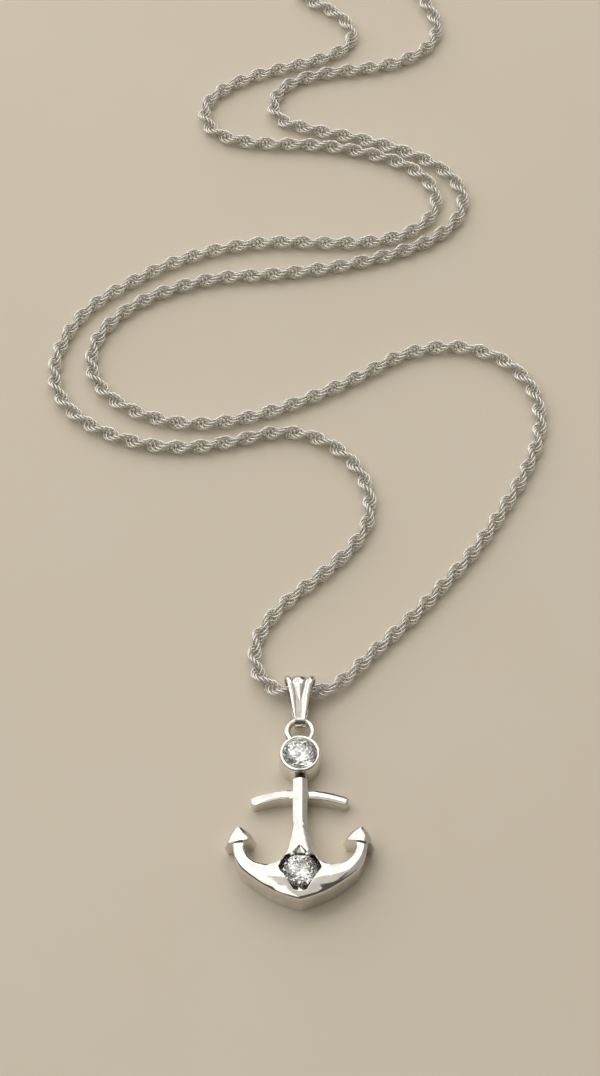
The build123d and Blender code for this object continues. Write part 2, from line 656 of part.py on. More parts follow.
def closing_pieces():
    """Return the two jump rings and the clasp that join the end caps."""
    from_eye = eye_centre(LEFT_ROUTE)
    to_eye = eye_centre(RIGHT_ROUTE)
    line = to_eye - from_eye
    span = line.length
    ring_radius = (JUMP_RING_DIAMETER - JUMP_RING_WIRE) / 2
    ring_height = JUMP_RING_DIAMETER / 2
    drop = ring_height - IN_CAP
    half_chord = math.sqrt(ring_radius ** 2 - drop ** 2)
    lean = math.acos((span - clasp_reach()) / (4 * half_chord))
    heading = math.atan2(line.Y, line.X)
    left_way = Vector(math.cos(heading + lean), math.sin(heading + lean), 0)
    right_way = Vector(-math.cos(heading - lean), -math.sin(heading - lean), 0)

    rings = []
    for eye, way in ((from_eye, left_way), (to_eye, right_way)):
        middle = eye + way * half_chord
        centre = Vector(middle.X, middle.Y, ring_height)
        plane = Plane(origin=centre, x_dir=way, z_dir=way.cross(Vector(0, 0, 1)))
        rings.append(Location(plane) * Torus(ring_radius, JUMP_RING_WIRE / 2))

    near = from_eye + left_way * (2 * half_chord)
    loop_half = (CLASP_WIDTH - CLASP_WIRE) / 2
    loop_end = CLASP_STRAIGHT / 2 + loop_half
    loop_centre = CLASP_EYE_HOLE / 2 + CLASP_EYE_WIRE - JOINT_LAP + CLASP_WIRE / 2 + loop_end
    bar = Rot(0, 90, 0) * Cylinder(CLASP_WIRE / 2, CLASP_STRAIGHT)
    bend = Torus(loop_half, CLASP_WIRE / 2)
    half_space = Box(4 * CLASP_WIDTH, 4 * CLASP_WIDTH, 4 * CLASP_WIRE)
    bend_right = Pos(CLASP_STRAIGHT / 2, 0, 0) * (bend & Pos(2 * CLASP_WIDTH, 0, 0) * half_space)
    bend_left = Pos(-CLASP_STRAIGHT / 2, 0, 0) * (bend & Pos(-2 * CLASP_WIDTH, 0, 0) * half_space)
    loop = Pos(0, loop_half, 0) * bar + Pos(0, -loop_half, 0) * bar + bend_left + bend_right
    clasp_eye = Torus((CLASP_EYE_HOLE + CLASP_EYE_WIRE) / 2, CLASP_EYE_WIRE / 2)
    clasp = clasp_eye + Pos(loop_centre, 0, 0) * loop
    clasp = frame_at((near.X, near.Y, IN_CAP), line.normalized()) * clasp
    return rings[0], rings[1], clasp, span


def main():
    """Build every piece and write one file for each."""
    os.makedirs("parts", exist_ok=True)
    left_rope, left_length = rope("rope_chain_left", LEFT_ROUTE)
    right_rope, right_length = rope("rope_chain_right", RIGHT_ROUTE)
    ring_left, ring_right, clasp, span = closing_pieces()
    pieces = {
        "anchor": anchor(),
        "bezel_stone": brilliant(BEZEL_STONE_DIAMETER, BEZEL_HEIGHT - BEZEL_GIRDLE_BELOW_RIM, 0),
        "crown_stone": brilliant(CROWN_STONE_DIAMETER, CROWN_GIRDLE_HEIGHT, CROWN_STONE_Y),
        "bail": bail(),
        "rope_chain_left": left_rope,
        "rope_chain_right": right_rope,
        "end_cap_left": end_cap(LEFT_ROUTE),
        "end_cap_right": end_cap(RIGHT_ROUTE),
        "jump_ring_left": ring_left,
        "jump_ring_right": ring_right,
        "clasp": clasp,
    }
    for name, shape in pieces.items():
        box = shape.bounding_box()
        print(
            name, "valid", shape.is_valid, "solids", len(shape.solids()), "volume", round(shape.volume, 2),
            "box", [round(value, 2) for value in (*box.min, *box.max)],
        )
        export_step(shape, f"parts/{name}.step")
    total = left_length + right_length + span + 2 * eye_reach()
    print("necklace length", round(total, 1))


if __name__ == "__main__":
    main()
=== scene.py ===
"""Dresses the anchor pendant necklace: a cast silver anchor, its folded bail and its rope chain."""

import logging
import math
from dataclasses import dataclass, field
from enum import Enum
from typing import Any

import bmesh
import bpy
import numpy as np
from mathutils import Matrix, Vector

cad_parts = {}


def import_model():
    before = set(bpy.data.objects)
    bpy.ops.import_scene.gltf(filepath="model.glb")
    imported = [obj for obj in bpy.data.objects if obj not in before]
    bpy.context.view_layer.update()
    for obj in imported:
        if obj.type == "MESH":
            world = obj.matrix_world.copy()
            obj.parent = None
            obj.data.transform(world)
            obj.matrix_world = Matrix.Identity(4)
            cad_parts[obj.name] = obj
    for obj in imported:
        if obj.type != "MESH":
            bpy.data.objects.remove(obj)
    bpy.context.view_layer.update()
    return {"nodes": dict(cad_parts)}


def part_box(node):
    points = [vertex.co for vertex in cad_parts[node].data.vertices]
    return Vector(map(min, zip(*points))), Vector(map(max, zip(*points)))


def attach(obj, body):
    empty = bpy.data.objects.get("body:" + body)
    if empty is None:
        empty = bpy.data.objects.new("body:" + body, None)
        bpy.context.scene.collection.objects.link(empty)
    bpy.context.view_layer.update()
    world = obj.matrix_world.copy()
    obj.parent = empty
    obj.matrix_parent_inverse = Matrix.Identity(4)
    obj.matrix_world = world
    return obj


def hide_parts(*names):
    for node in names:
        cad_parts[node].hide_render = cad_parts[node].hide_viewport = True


LOG = logging.getLogger("anchor_necklace")
MM = 0.001
MICRON = 0.000001

Place = tuple[float, float]
Point = tuple[float, float, float]
Station = tuple[float, float, float, float, float]
Colour = tuple[float, float, float, float]

LEFT_ROUTE: tuple[Point, ...] = (
    (0.0, 0.01075, 0.0019), (-0.003, 0.01075, 0.0019), (-0.006, 0.0135, 0.0014),
    (-0.0069, 0.0182, 0.00115), (-0.0052, 0.0227, 0.00115), (-0.0017, 0.027, 0.00115),
    (0.003, 0.031, 0.00115), (0.0074, 0.0356, 0.00115), (0.0104, 0.0404, 0.00115),
    (0.0106, 0.0466, 0.00115), (0.0076, 0.0528, 0.00115), (0.0024, 0.0566, 0.00115),
    (-0.0032, 0.0577, 0.00115), (-0.01, 0.0556, 0.00115), (-0.0175, 0.0542, 0.00115),
    (-0.0255, 0.0552, 0.00115), (-0.0328, 0.0586, 0.00115), (-0.0376, 0.0638, 0.00115),
    (-0.0389, 0.07, 0.00115), (-0.037, 0.0766, 0.00115), (-0.0334, 0.0823, 0.00115),
    (-0.0274, 0.087, 0.00115), (-0.0204, 0.0914, 0.00115), (-0.0126, 0.0943, 0.00115),
    (-0.004, 0.0957, 0.00115), (0.0044, 0.0952, 0.00115), (0.012, 0.0954, 0.00115),
    (0.0186, 0.0976, 0.00115), (0.0225, 0.1022, 0.00115), (0.0222, 0.1076, 0.00115),
    (0.0178, 0.1124, 0.00115), (0.0106, 0.1152, 0.00115), (0.0026, 0.1168, 0.00115),
    (-0.0056, 0.1169, 0.00115), (-0.012, 0.1178, 0.00115), (-0.0159, 0.121, 0.00115),
    (-0.0163, 0.1258, 0.00115), (-0.0129, 0.1298, 0.00115), (-0.0068, 0.1331, 0.00115),
    (-0.0004, 0.135, 0.00115), (0.0054, 0.1372, 0.00115), (0.009, 0.1402, 0.00115),
    (0.0089, 0.1445, 0.00115), (0.0052, 0.1486, 0.00115), (0.0006, 0.1512, 0.00115),
    (-0.0003, 0.1554, 0.0016), (0.0016, 0.1589, 0.0016),
)
RIGHT_ROUTE: tuple[Point, ...] = (
    (0.0, 0.01075, 0.0019), (0.003, 0.01075, 0.0019), (0.0066, 0.0132, 0.0014),
    (0.0108, 0.0182, 0.00115), (0.0162, 0.0236, 0.00115), (0.0214, 0.0298, 0.00115),
    (0.0268, 0.0366, 0.00115), (0.0312, 0.044, 0.00115), (0.0352, 0.0516, 0.00115),
    (0.0374, 0.059, 0.00115), (0.0364, 0.0664, 0.00115), (0.0314, 0.0722, 0.00115),
    (0.024, 0.0744, 0.00115), (0.0164, 0.0728, 0.00115), (0.0096, 0.0683, 0.00115),
    (0.002, 0.064, 0.00115), (-0.006, 0.0606, 0.00115), (-0.0144, 0.0586, 0.00115),
    (-0.0224, 0.0596, 0.00115), (-0.0294, 0.0634, 0.00115), (-0.033, 0.069, 0.00115),
    (-0.0326, 0.0752, 0.00115), (-0.0284, 0.0812, 0.00115), (-0.0214, 0.0856, 0.00115),
    (-0.013, 0.0882, 0.00115), (-0.0046, 0.0886, 0.00115), (0.0042, 0.0899, 0.00115),
    (0.013, 0.0921, 0.00115), (0.0212, 0.0956, 0.00115), (0.026, 0.1002, 0.00115),
    (0.0272, 0.1062, 0.00115), (0.0238, 0.1116, 0.00115), (0.0172, 0.1155, 0.00115),
    (0.0094, 0.1183, 0.00115), (0.0016, 0.1202, 0.00115), (-0.0038, 0.1222, 0.00115),
    (-0.0049, 0.1266, 0.00115), (-0.002, 0.131, 0.00115), (0.004, 0.1332, 0.00115),
    (0.0114, 0.1342, 0.00115), (0.018, 0.136, 0.00115), (0.0228, 0.1398, 0.00115),
    (0.0241, 0.145, 0.00115), (0.022, 0.1496, 0.00115), (0.0209, 0.154, 0.0016),
    (0.019, 0.1575, 0.0016),
)


def linear(hex_code: str) -> Colour:
    """Turns an sRGB hex colour into linear light.

    Args:
        hex_code: The colour as "#RRGGBB".

    Returns:
        Red, green, blue and an alpha of one, each from 0 to 1.
    """
    channels = []
    for start in (1, 3, 5):
        value = int(hex_code[start:start + 2], 16) / 255
        channels.append(value / 12.92 if value <= 0.04045 else ((value + 0.055) / 1.055) ** 2.4)
    return channels[0], channels[1], channels[2], 1.0


def add_node(tree: bpy.types.NodeTree, kind: str, inputs: dict[Any, Any] | None = None,
             **settings: Any) -> bpy.types.Node:
    """Adds one node with its settings, values and links.

    Args:
        tree: The node tree that the node goes into.
        kind: The node's type name.
        inputs: A value or an output socket for each input's name or number.
        settings: Properties of the node, set before its inputs.

    Returns:
        The new node.
    """
    node = tree.nodes.new(kind)
    for name, value in settings.items():
        setattr(node, name, value)
    for key, value in (inputs or {}).items():
        if isinstance(value, bpy.types.NodeSocket):
            tree.links.new(value, node.inputs[key])
        else:
            node.inputs[key].default_value = value
    return node


def empty_material(name: str) -> bpy.types.Material:
    """Makes a node material with nothing in it.

    Args:
        name: The real finish's name.

    Returns:
        The new material.
    """
    material = bpy.data.materials.new(name)
    material.use_nodes = True
    material.node_tree.nodes.clear()
    return material


class Slot(Enum):
    """The record's material slots that the new pieces take their finish from."""

    PENDANT = "pendant_silver"
    BAIL = "bail_silver"
    CHAIN = "chain_silver"


@dataclass(frozen=True)
class PolishedSterling:
    """Cast or drawn sterling silver, buffed by hand to a mirror that waves and is finely scratched.

    The wheel leaves slow waves some millimetres long, which bend the reflections of straight
    things, and shallow casting pits half a millimetre apart, which make the gloss uneven.
    Polishing lines are about 0.02 mm wide, too fine to show, so they are drawn 0.16 mm wide.
    Sizes end in mm, depths in um.
    """

    name: str
    bright: str = "#F6F4F0"
    dull: str = "#D9D5CE"
    roughness_low: float = 0.07
    roughness_high: float = 0.2
    wave_mm: float = 2.2
    wave_um: float = 14.0
    pit_mm: float = 0.5
    pit_um: float = 1.2
    pit_range: Place = (0.3, 0.7)
    scratch_mm: float = 0.16
    scratch_um: float = 0.35
    scratch_turn: Point = (0.3, 0.2, 0.6)
    scratch_stretch: Point = (1.0, 0.12, 1.0)
    tarnish_mm: float = 3.0
    tarnish_range: Place = (0.35, 0.75)
    # Painted shade: the colour, attribute and range below darken hollows where light falls less.
    painted_shade_attribute: str = ""
    painted_shade: str = "#A09C95"
    painted_shade_range: Place = (0.35, 0.85)

    def material(self) -> bpy.types.Material:
        """Builds the finish.

        Returns:
            The silver material.
        """
        material = empty_material(self.name)
        tree = material.node_tree
        place = add_node(tree, "ShaderNodeTexCoord").outputs["Object"]
        lines = add_node(tree, "ShaderNodeMapping", {
            "Vector": place, "Rotation": self.scratch_turn, "Scale": self.scratch_stretch})
        layers = {
            "waves": (place, self.wave_mm, self.wave_um, 1.0, 0.4),
            "pits": (place, self.pit_mm, self.pit_um, 3.0, 0.6),
            "scratches": (lines.outputs["Vector"], self.scratch_mm, self.scratch_um, 2.0, 0.7),
        }
        noises, under = {}, {}
        for layer, (vector, size, depth, detail, breakup) in layers.items():
            noises[layer] = add_node(tree, "ShaderNodeTexNoise", {
                "Vector": vector, "Scale": 1 / (size * MM), "Detail": detail, "Roughness": breakup})
            bump = add_node(tree, "ShaderNodeBump", {
                "Height": noises[layer].outputs["Fac"], "Strength": 1.0,
                "Distance": depth * MICRON, **under})
            under = {"Normal": bump.outputs["Normal"]}
        tarnish = add_node(tree, "ShaderNodeTexNoise", {
            "Vector": place, "Scale": 1 / (self.tarnish_mm * MM), "Detail": 4.0, "Roughness": 0.6})
        toned = add_node(tree, "ShaderNodeMapRange", {
            "Value": tarnish.outputs["Fac"], "From Min": self.tarnish_range[0],
            "From Max": self.tarnish_range[1]})
        colour = add_node(tree, "ShaderNodeMix", {
            "Factor": toned.outputs["Result"], "A": linear(self.bright), "B": linear(self.dull)},
            data_type="RGBA").outputs["Result"]
        # Painted shade: darkens hollows and creases where the named attribute is low.
        if self.painted_shade_attribute:
            colour = self.paint_shade_in_hollows(tree, colour)
        worn = add_node(tree, "ShaderNodeMapRange", {
            "Value": noises["pits"].outputs["Fac"], "From Min": self.pit_range[0],
            "From Max": self.pit_range[1], "To Min": self.roughness_low,
            "To Max": self.roughness_high})
        surface = add_node(tree, "ShaderNodeBsdfPrincipled", {
            "Base Color": colour, "Metallic": 1.0, "Roughness": worn.outputs["Result"], **under})
        add_node(tree, "ShaderNodeOutputMaterial", {"Surface": surface.outputs["BSDF"]})
        return material

    def paint_shade_in_hollows(self, tree: bpy.types.NodeTree,
                       clean: bpy.types.NodeSocket) -> bpy.types.NodeSocket:
        """Paints shade into hollows: darkens the metal where the named attribute says light falls less.

        Args:
            tree: The material's nodes.
            clean: The colour of the metal without painted shade.

        Returns:
            The colour with painted shade in the hollows.
        """
        reach = add_node(tree, "ShaderNodeAttribute", attribute_name=self.painted_shade_attribute)
        buffed = add_node(tree, "ShaderNodeMapRange", {
            "Value": reach.outputs["Fac"], "From Min": self.painted_shade_range[0],
            "From Max": self.painted_shade_range[1]}, interpolation_type="SMOOTHSTEP")
        mixed = add_node(tree, "ShaderNodeMix", {
            "Factor": buffed.outputs["Result"], "A": linear(self.painted_shade), "B": clean},
            data_type="RGBA")
        return mixed.outputs["Result"]


@dataclass(frozen=True)
class CutZirconia:
    """Cut and polished cubic zirconia: flat facets that mirror inside the stone and break up the light.

    Its high refraction gives the hard black and white pattern. Skin grease from handling leaves a
    faint bloom, in patches a little smaller than a facet.
    """

    name: str = "cut_cubic_zirconia"
    tint: str = "#FBFCFD"
    refraction: float = 2.15
    bloom_mm: float = 0.8
    bloom_range: Place = (0.5, 0.8)
    bloom_roughness: float = 0.015

    def material(self) -> bpy.types.Material:
        """Builds the finish.

        Returns:
            The clear stone's material.
        """
        material = empty_material(self.name)
        tree = material.node_tree
        place = add_node(tree, "ShaderNodeTexCoord").outputs["Object"]
        bloom = add_node(tree, "ShaderNodeTexNoise", {
            "Vector": place, "Scale": 1 / (self.bloom_mm * MM), "Detail": 2.0})
        rubbed = add_node(tree, "ShaderNodeMapRange", {
            "Value": bloom.outputs["Fac"], "From Min": self.bloom_range[0],
            "From Max": self.bloom_range[1], "To Min": 0.0, "To Max": self.bloom_roughness})
        surface = add_node(tree, "ShaderNodeBsdfPrincipled", {
            "Base Color": linear(self.tint), "Roughness": rubbed.outputs["Result"],
            "IOR": self.refraction, "Transmission Weight": 1.0})
        add_node(tree, "ShaderNodeOutputMaterial", {"Surface": surface.outputs["BSDF"]})
        return material


@dataclass(frozen=True)
class PaleTableTop:
    """Matt pale board: an even warm beige with hardly any tooth.

    The real tooth of such a board is about 0.1 mm, too fine to show, so it is drawn 0.8 mm wide.
    """

    name: str = "matt_pale_board"
    colour: str = "#E4D9C8"
    second_colour: str = "#E0D4C1"
    mottle_mm: float = 30.0
    tooth_mm: float = 0.8
    tooth_um: float = 8.0
    roughness: float = 0.65

    def material(self) -> bpy.types.Material:
        """Builds the finish.

        Returns:
            The floor's material.
        """
        material = empty_material(self.name)
        tree = material.node_tree
        place = add_node(tree, "ShaderNodeTexCoord").outputs["Object"]
        mottle = add_node(tree, "ShaderNodeTexNoise", {
            "Vector": place, "Scale": 1 / (self.mottle_mm * MM), "Detail": 3.0})
        tooth = add_node(tree, "ShaderNodeTexNoise", {
            "Vector": place, "Scale": 1 / (self.tooth_mm * MM), "Detail": 2.0})
        colour = add_node(tree, "ShaderNodeMix", {
            "Factor": mottle.outputs["Fac"], "A": linear(self.colour),
            "B": linear(self.second_colour)}, data_type="RGBA")
        rough = add_node(tree, "ShaderNodeBump", {
            "Height": tooth.outputs["Fac"], "Strength": 1.0, "Distance": self.tooth_um * MICRON})
        surface = add_node(tree, "ShaderNodeBsdfPrincipled", {
            "Base Color": colour.outputs["Result"], "Roughness": self.roughness,
            "Normal": rough.outputs["Normal"]})
        add_node(tree, "ShaderNodeOutputMaterial", {"Surface": surface.outputs["BSDF"]})
        return material


def smooth_step(low: float, high: float, value: float) -> float:
    """Rises smoothly from 0 at low to 1 at high.

    Args:
        low: Where the rise starts.
        high: Where it ends.
        value: The place asked for.

    Returns:
        The share of the rise there.
    """
    share = min(1.0, max(0.0, (value - low) / (high - low)))
    return share * share * (3 - 2 * share)


def between(places: tuple[Place, ...], value: float) -> float:
    """Reads a value off a line drawn through places.

    Args:
        places: The line's places, in rising order.
        value: The place asked for.

    Returns:
        The line's height there, held level beyond its ends.
    """
    return float(np.interp(value, [place[0] for place in places], [place[1] for place in places]))


def read_vectors(elements: Any, name: str) -> np.ndarray:
    """Reads a vector of every element.

    Args:
        elements: The mesh's vertices.
        name: The vector's name.

    Returns:
        One row for each element.
    """
    values = np.empty(3 * len(elements))
    elements.foreach_get(name, values)
    return values.reshape(-1, 3)


def link_object(name: str, data: bpy.types.ID) -> bpy.types.Object:
    """Puts new data into the scene.

    Args:
        name: The object's name.
        data: Its mesh or curve.

    Returns:
        The new object, at the origin.
    """
    made = bpy.data.objects.new(name, data)
    bpy.context.scene.collection.objects.link(made)
    return made


def baked_mesh(source: bpy.types.Object, name: str) -> bpy.types.Mesh:
    """Takes the plain mesh that an object's modifiers give, and removes the object.

    Args:
        source: The object with its modifiers.
        name: The mesh's name.

    Returns:
        The mesh.
    """
    bpy.context.view_layer.update()
    graph = bpy.context.evaluated_depsgraph_get()
    mesh = bpy.data.meshes.new_from_object(source.evaluated_get(graph), depsgraph=graph)
    mesh.name = name
    bpy.data.objects.remove(source)
    return mesh


def circle_through(first: Place, second: Place, third: Place) -> tuple[Place, float]:
    """Finds the circle through three places.

    Args:
        first: One place on the circle.
        second: Another place on it.
        third: A third place on it.

    Returns:
        The circle's centre and its radius.
    """
    (ax, ay), (bx, by), (cx, cy) = first, second, third
    twice = 2 * (ax * (by - cy) + bx * (cy - ay) + cx * (ay - by))
    a2, b2, c2 = ax * ax + ay * ay, bx * bx + by * by, cx * cx + cy * cy
    centre_x = (a2 * (by - cy) + b2 * (cy - ay) + c2 * (ay - by)) / twice
    centre_y = (a2 * (cx - bx) + b2 * (ax - cx) + c2 * (bx - ax)) / twice
    return (centre_x, centre_y), math.hypot(ax - centre_x, ay - centre_y)


@dataclass
class AnchorCasting:
    """The cast anchor: its solid with the edges rounded as casting and buffing round them.

    All sizes and places are in millimetres. The long edges of the arms, along worn_arcs, are
    rounded more than the rest.
    """

    node: bpy.types.Object
    finish: PolishedSterling
    name: str = "anchor_casting"
    node_name: str = "anchor"
    merge_mm: float = 0.0005
    step_mm: float = 0.085
    pass_strength: float = 0.5
    edge_passes: int = 5
    most_triangles: int = 190_000
    worn_arcs: tuple[tuple[Place, Place, Place], ...] = (
        ((0.0, -22.4), (4.2, -20.75), (8.0, -17.85)),
        ((8.0, -17.85), (8.98, -15.7), (9.15, -13.3)),
        ((2.55, -16.4), (5.0, -17.1), (7.65, -13.3)),
    )
    worn_passes: int = 22
    worn_levels: int = 10
    worn_band: tuple[float, float] = (0.4, 0.95)
    worn_foot: float = 2.4
    worn_end_y: float = -14.1
    # The pocket, crown and joint below lay out painted shade: darker metal down the stone's pocket and in
    # the joint under the bezel.
    pocket: tuple[Place, ...] = (
        (0.0, -21.1), (0.8, -21.1), (2.98, -17.65), (2.05, -15.85), (1.1, -15.45), (0.0, -15.45))
    pocket_margin: float = 0.05
    crown_height: float = 4.4
    crown_radius: float = 20.0
    crown_centre_y: float = -18.0
    painted_shade_depths: tuple[float, float] = (0.15, 0.8)
    joint_low: Point = (-1.1, -3.5, 0.0)
    joint_high: Point = (1.1, -2.85, 2.9)
    joint_open_to_light: float = 0.3
    crease: float = 24.0
    normal_passes: int = 30
    shank_half: float = 0.99
    shank_foot: float = 2.45
    shank_least_rise: float = 0.6
    shank_ends: Place = (-10.6, -3.42)
    shank_blend: float = 2.8
    shank_radius: float = 1.4607

    def merged_copy(self) -> bpy.types.Mesh:
        """Copies the CAD node's mesh in millimetres, with its loose triangles joined.

        Returns:
            The joined mesh.
        """
        mesh = self.node.data.copy()
        mesh.transform(Matrix.Scale(1 / MM, 4))
        if "custom_normal" in mesh.attributes:
            mesh.attributes.remove(mesh.attributes["custom_normal"])
        sketch = bmesh.new()
        sketch.from_mesh(mesh)
        bmesh.ops.remove_doubles(sketch, verts=sketch.verts, dist=self.merge_mm)
        sketch.to_mesh(mesh)
        sketch.free()
        return mesh

    def worn_weights(self, points: np.ndarray) -> np.ndarray:
        """Weighs how much the long edges of the arms are rounded at each point.

        Args:
            points: The mesh's points in millimetres.

        Returns:
            A weight from 0 to 1 for each point.
        """
        across, along, up = np.abs(points[:, 0]), points[:, 1], points[:, 2]
        near, far = self.worn_band
        weights = np.zeros(len(points))
        for arc in self.worn_arcs:
            centre, radius = circle_through(*arc)
            away = np.abs(np.hypot(across - centre[0], along - centre[1]) - radius)
            ends = [place[1] for place in arc]
            held = (along >= min(ends)) & (along <= max(ends)) & (along < self.worn_end_y)
            weights = np.maximum(weights, np.where(held, (far - away) / (far - near), 0.0))
        return np.clip(weights, 0.0, 1.0) * np.clip((up - self.worn_foot) / near, 0.0, 1.0)

    def open_to_light(self, points: np.ndarray) -> np.ndarray:
        """Lays out painted shade: darker down the stone's pocket and in the bezel's joint, where light
        falls less.

        Args:
            points: The mesh's points in millimetres.

        Returns:
            One where the metal is open to light, and less where painted shade falls in a hollow.
        """
        across, along, up = np.abs(points[:, 0]), points[:, 1], points[:, 2]
        inside = np.ones(len(points), dtype=bool)
        for (x0, y0), (x1, y1) in zip(self.pocket, self.pocket[1:]):
            inside &= (x1 - x0) * (along - y0) - (y1 - y0) * (across - x0) > -self.pocket_margin
        fall = (across ** 2 + (along - self.crown_centre_y) ** 2) / (2 * self.crown_radius)
        low, high = self.painted_shade_depths
        dull = np.clip((self.crown_height - fall - up - low) / (high - low), 0.0, 1.0)
        bright = np.where(inside, 1.0 - dull, 1.0)
        low_corner, high_corner = np.array(self.joint_low), np.array(self.joint_high)
        in_joint = np.all((points > low_corner) & (points < high_corner), axis=1)
        return np.where(in_joint, self.joint_open_to_light, bright)

    def keep_inside(self, points: np.ndarray) -> np.ndarray:
        """Keeps every point, in metres, inside the CAD node's own box."""
        low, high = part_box(self.node_name)
        return np.clip(points, np.array(low), np.array(high))

    def even_normals(self, mesh: bpy.types.Mesh) -> None:
        """Evens out the small flats of the curved faces, but never across an edge.

        Args:
            mesh: The finished mesh.
        """
        count = len(mesh.vertices)
        pairs = np.empty(2 * len(mesh.edges), dtype=np.int32)
        mesh.edges.foreach_get("vertices", pairs)
        first, second = pairs.reshape(-1, 2).T
        normals = read_vectors(mesh.vertices, "normal")
        alike = np.sum(normals[first] * normals[second], axis=1)
        limit = math.cos(math.radians(self.crease))
        hold = np.clip((alike - limit) / (1 - limit), 0.0, 1.0)
        for _ in range(self.normal_passes):
            spread = normals.copy()
            for axis in range(3):
                spread[:, axis] += np.bincount(first, hold * normals[second, axis], count)
                spread[:, axis] += np.bincount(second, hold * normals[first, axis], count)
            normals = spread / np.linalg.norm(spread, axis=1, keepdims=True)
        normals = self.shank_normals(read_vectors(mesh.vertices, "co") / MM, normals)
        mesh.normals_split_custom_set_from_vertices(normals.tolist())

    def shank_normals(self, points: np.ndarray, normals: np.ndarray) -> np.ndarray:
        """Turns the normals on the shank's face to those of its true round.

        Args:
            points: The mesh's points in millimetres.
            normals: Their normals.

        Returns:
            The normals with the shank's set right.
        """
        low, high = self.shank_ends
        across, along, up = points.T
        on_face = (np.abs(across) < self.shank_half) & (along > low) & (along < high)
        on_face &= (up > self.shank_foot) & (normals[:, 2] > self.shank_least_rise)
        share = np.clip((along - low) / self.shank_blend, 0.0, 1.0)
        share = np.where(on_face, share ** 2 * (3 - 2 * share), 0.0)[:, None]
        rise = np.sqrt(self.shank_radius ** 2 - np.clip(across, -self.shank_half, self.shank_half) ** 2)
        true = np.stack([across, np.zeros(len(points)), rise], axis=1) / self.shank_radius
        mixed = share * true + (1 - share) * normals
        return mixed / np.linalg.norm(mixed, axis=1, keepdims=True)

    def rounded(self) -> bpy.types.Mesh:
        """Rounds the solid's edges on an even, fine skin.

        Returns:
            The rounded mesh in metres.
        """
        blank = link_object(self.name + "_blank", self.merged_copy())
        remesh = blank.modifiers.new("fine skin", "REMESH")
        remesh.mode = "VOXEL"
        remesh.voxel_size = self.step_mm
        mesh = baked_mesh(blank, self.name + "_fine")
        fine = link_object(self.name + "_fine", mesh)
        buff = fine.modifiers.new("buffed edges", "SMOOTH")
        buff.factor = self.pass_strength
        buff.iterations = self.edge_passes
        group = fine.vertex_groups.new(name="arm edges")
        levels = np.round(self.worn_levels * self.worn_weights(read_vectors(mesh.vertices, "co")))
        for level in range(1, self.worn_levels + 1):
            group.add(np.flatnonzero(levels == level).tolist(), level / self.worn_levels, "REPLACE")
        worn = fine.modifiers.new("worn arm edges", "SMOOTH")
        worn.factor = self.pass_strength
        worn.iterations = self.worn_passes
        worn.vertex_group = group.name
        thin = fine.modifiers.new("fewer faces", "DECIMATE")
        thin.ratio = min(1.0, self.most_triangles / (2 * len(mesh.polygons)))
        finished = baked_mesh(fine, self.name)
        points = read_vectors(finished.vertices, "co")
        # The 'buffed' attribute holds painted shade: 1 where the metal is open, less in the pocket and in
        # the bezel's joint.
        open_to_light = finished.attributes.new("buffed", "FLOAT", "POINT")
        open_to_light.data.foreach_set("value", self.open_to_light(points))
        finished.vertices.foreach_set("co", self.keep_inside(points * MM).ravel())
        finished.update()
        return finished

    def build(self) -> bpy.types.Object:
        """Returns:
            The finished anchor.
        """
        mesh = self.rounded()
        mesh.shade_smooth()
        self.even_normals(mesh)
        mesh.materials.clear()
        mesh.materials.append(self.finish.material())
        piece = link_object(self.name, mesh)
        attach(piece, "root")
        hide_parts(self.node_name)
        LOG.info("%s: %d faces", self.name, len(mesh.polygons))
        return piece


